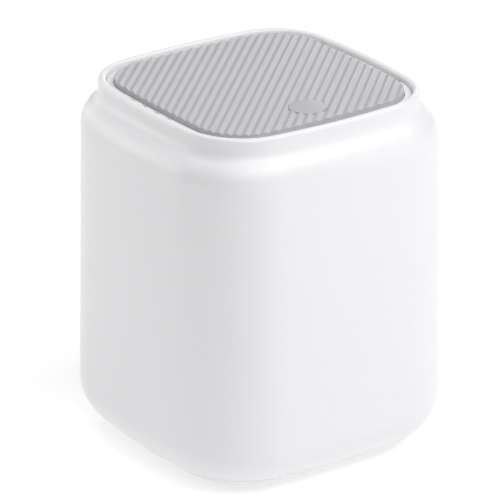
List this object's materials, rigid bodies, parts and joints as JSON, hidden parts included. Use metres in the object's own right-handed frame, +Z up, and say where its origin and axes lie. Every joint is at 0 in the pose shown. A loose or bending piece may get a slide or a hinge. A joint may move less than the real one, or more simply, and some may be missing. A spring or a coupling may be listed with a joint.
{
  "type": "wireless router",
  "caption": "Compact upright desk router: rounded-square tower with a necked shoulder, ribbed lid, status window and a recessed rear port bay.",
  "frame": {"origin": "on the table under the centre of the body, level with the soles of the rubber feet", "axes": "+Z up through the ribbed lid; -Y is the front, with the status window near the lid's front edge; +Y is the rear, with every port; +X is to the right seen from the front"},
  "size_m": [0.0894, 0.0894, 0.105],
  "materials": {
    "casing_white": "satin, fine moulded texture",
    "lid_grey": "satin, ribbed",
    "window_grey": "smooth satin diffuser",
    "bezel_grey": "fine matt grain",
    "frame_grey": "matt",
    "foot_rubber": "soft matt",
    "label_paper": "matt film, blank",
    "steel_screw": "zinc plated",
    "clear_plastic": "clear, polished",
    "board_green": "solder mask",
    "chip_black": "moulded epoxy",
    "can_metal": "tin plated",
    "gold_contact": "gold plated",
    "socket_black": "moulded",
    "button_white": "satin",
    "plunger_black": "moulded",
    "sink_aluminium": "extruded, matt",
    "pad_blue": "soft silicone",
    "cable_black": "extruded jacket",
    "cap_sleeve": "film sleeve",
    "led_white": "cast resin",
    "plug_ivory": "moulded"
  },
  "bodies": {
    "router": {"outer_shell": "casing_white", "base_cover": "casing_white", "rubber_feet": "foot_rubber", "base_screws": "steel_screw", "rating_label": "label_paper", "top_deck": "casing_white", "deck_screws": "steel_screw", "top_lid": "lid_grey", "status_window": "window_grey", "light_pipe": "clear_plastic", "led_board": "board_green", "status_led": "led_white", "led_plugs": "plug_ivory", "led_cable": "cable_black", "inner_frame": "frame_grey", "main_board": "board_green", "board_screws": "steel_screw", "heatsink_screws": "steel_screw", "heatsink_nuts": "steel_screw", "heatsink": "sink_aluminium", "processor": "chip_black", "memory_chip": "chip_black", "flash_chip": "chip_black", "crystal": "can_metal", "radio_chips": "chip_black", "radio_cans": "can_metal", "thermal_pads": "pad_blue", "lan_transformers": "chip_black", "power_inductors": "chip_black", "capacitors": "cap_sleeve", "wan_jack": "socket_black", "wan_shield": "can_metal", "wan_contacts": "gold_contact", "lan_jack": "socket_black", "lan_shield": "can_metal", "lan_contacts": "gold_contact", "port_bezel": "bezel_grey", "dc_jack": "socket_black", "dc_pin": "gold_contact", "pair_switch": "socket_black", "reset_switch": "socket_black", "antenna_left_rear": "board_green", "antenna_left_front": "board_green", "antenna_right_rear": "board_green", "antenna_right_front": "board_green", "lead_left_rear": "cable_black", "lead_left_front": "cable_black", "lead_right_rear": "cable_black", "lead_right_front": "cable_black", "antenna_plugs": "gold_contact"},
    "pair_button": {"pair_button": "button_white"},
    "pair_plunger": {"pair_plunger": "plunger_black"},
    "reset_plunger": {"reset_plunger": "plunger_black"}
  },
  "joints": [
    {"name": "pair_press", "type": "slide", "parent": "router", "child": "pair_button", "axis": [0, -1, 0], "range_m": [0, 0.00035], "stiffness_N_per_m": 300, "springref_m": -0.0003},
    {"name": "pair_switch_travel", "type": "slide", "parent": "router", "child": "pair_plunger", "axis": [0, -1, 0], "range_m": [0, 0.00035], "stiffness_N_per_m": 20, "springref_m": -0.0003},
    {"name": "reset_press", "type": "slide", "parent": "router", "child": "reset_plunger", "axis": [0, -1, 0], "range_m": [0, 0.00025], "stiffness_N_per_m": 200, "springref_m": -0.0003}
  ],
  "couplings": [
    {"joint": "pair_switch_travel", "follows": "pair_press", "ratio": 1}
  ]
}
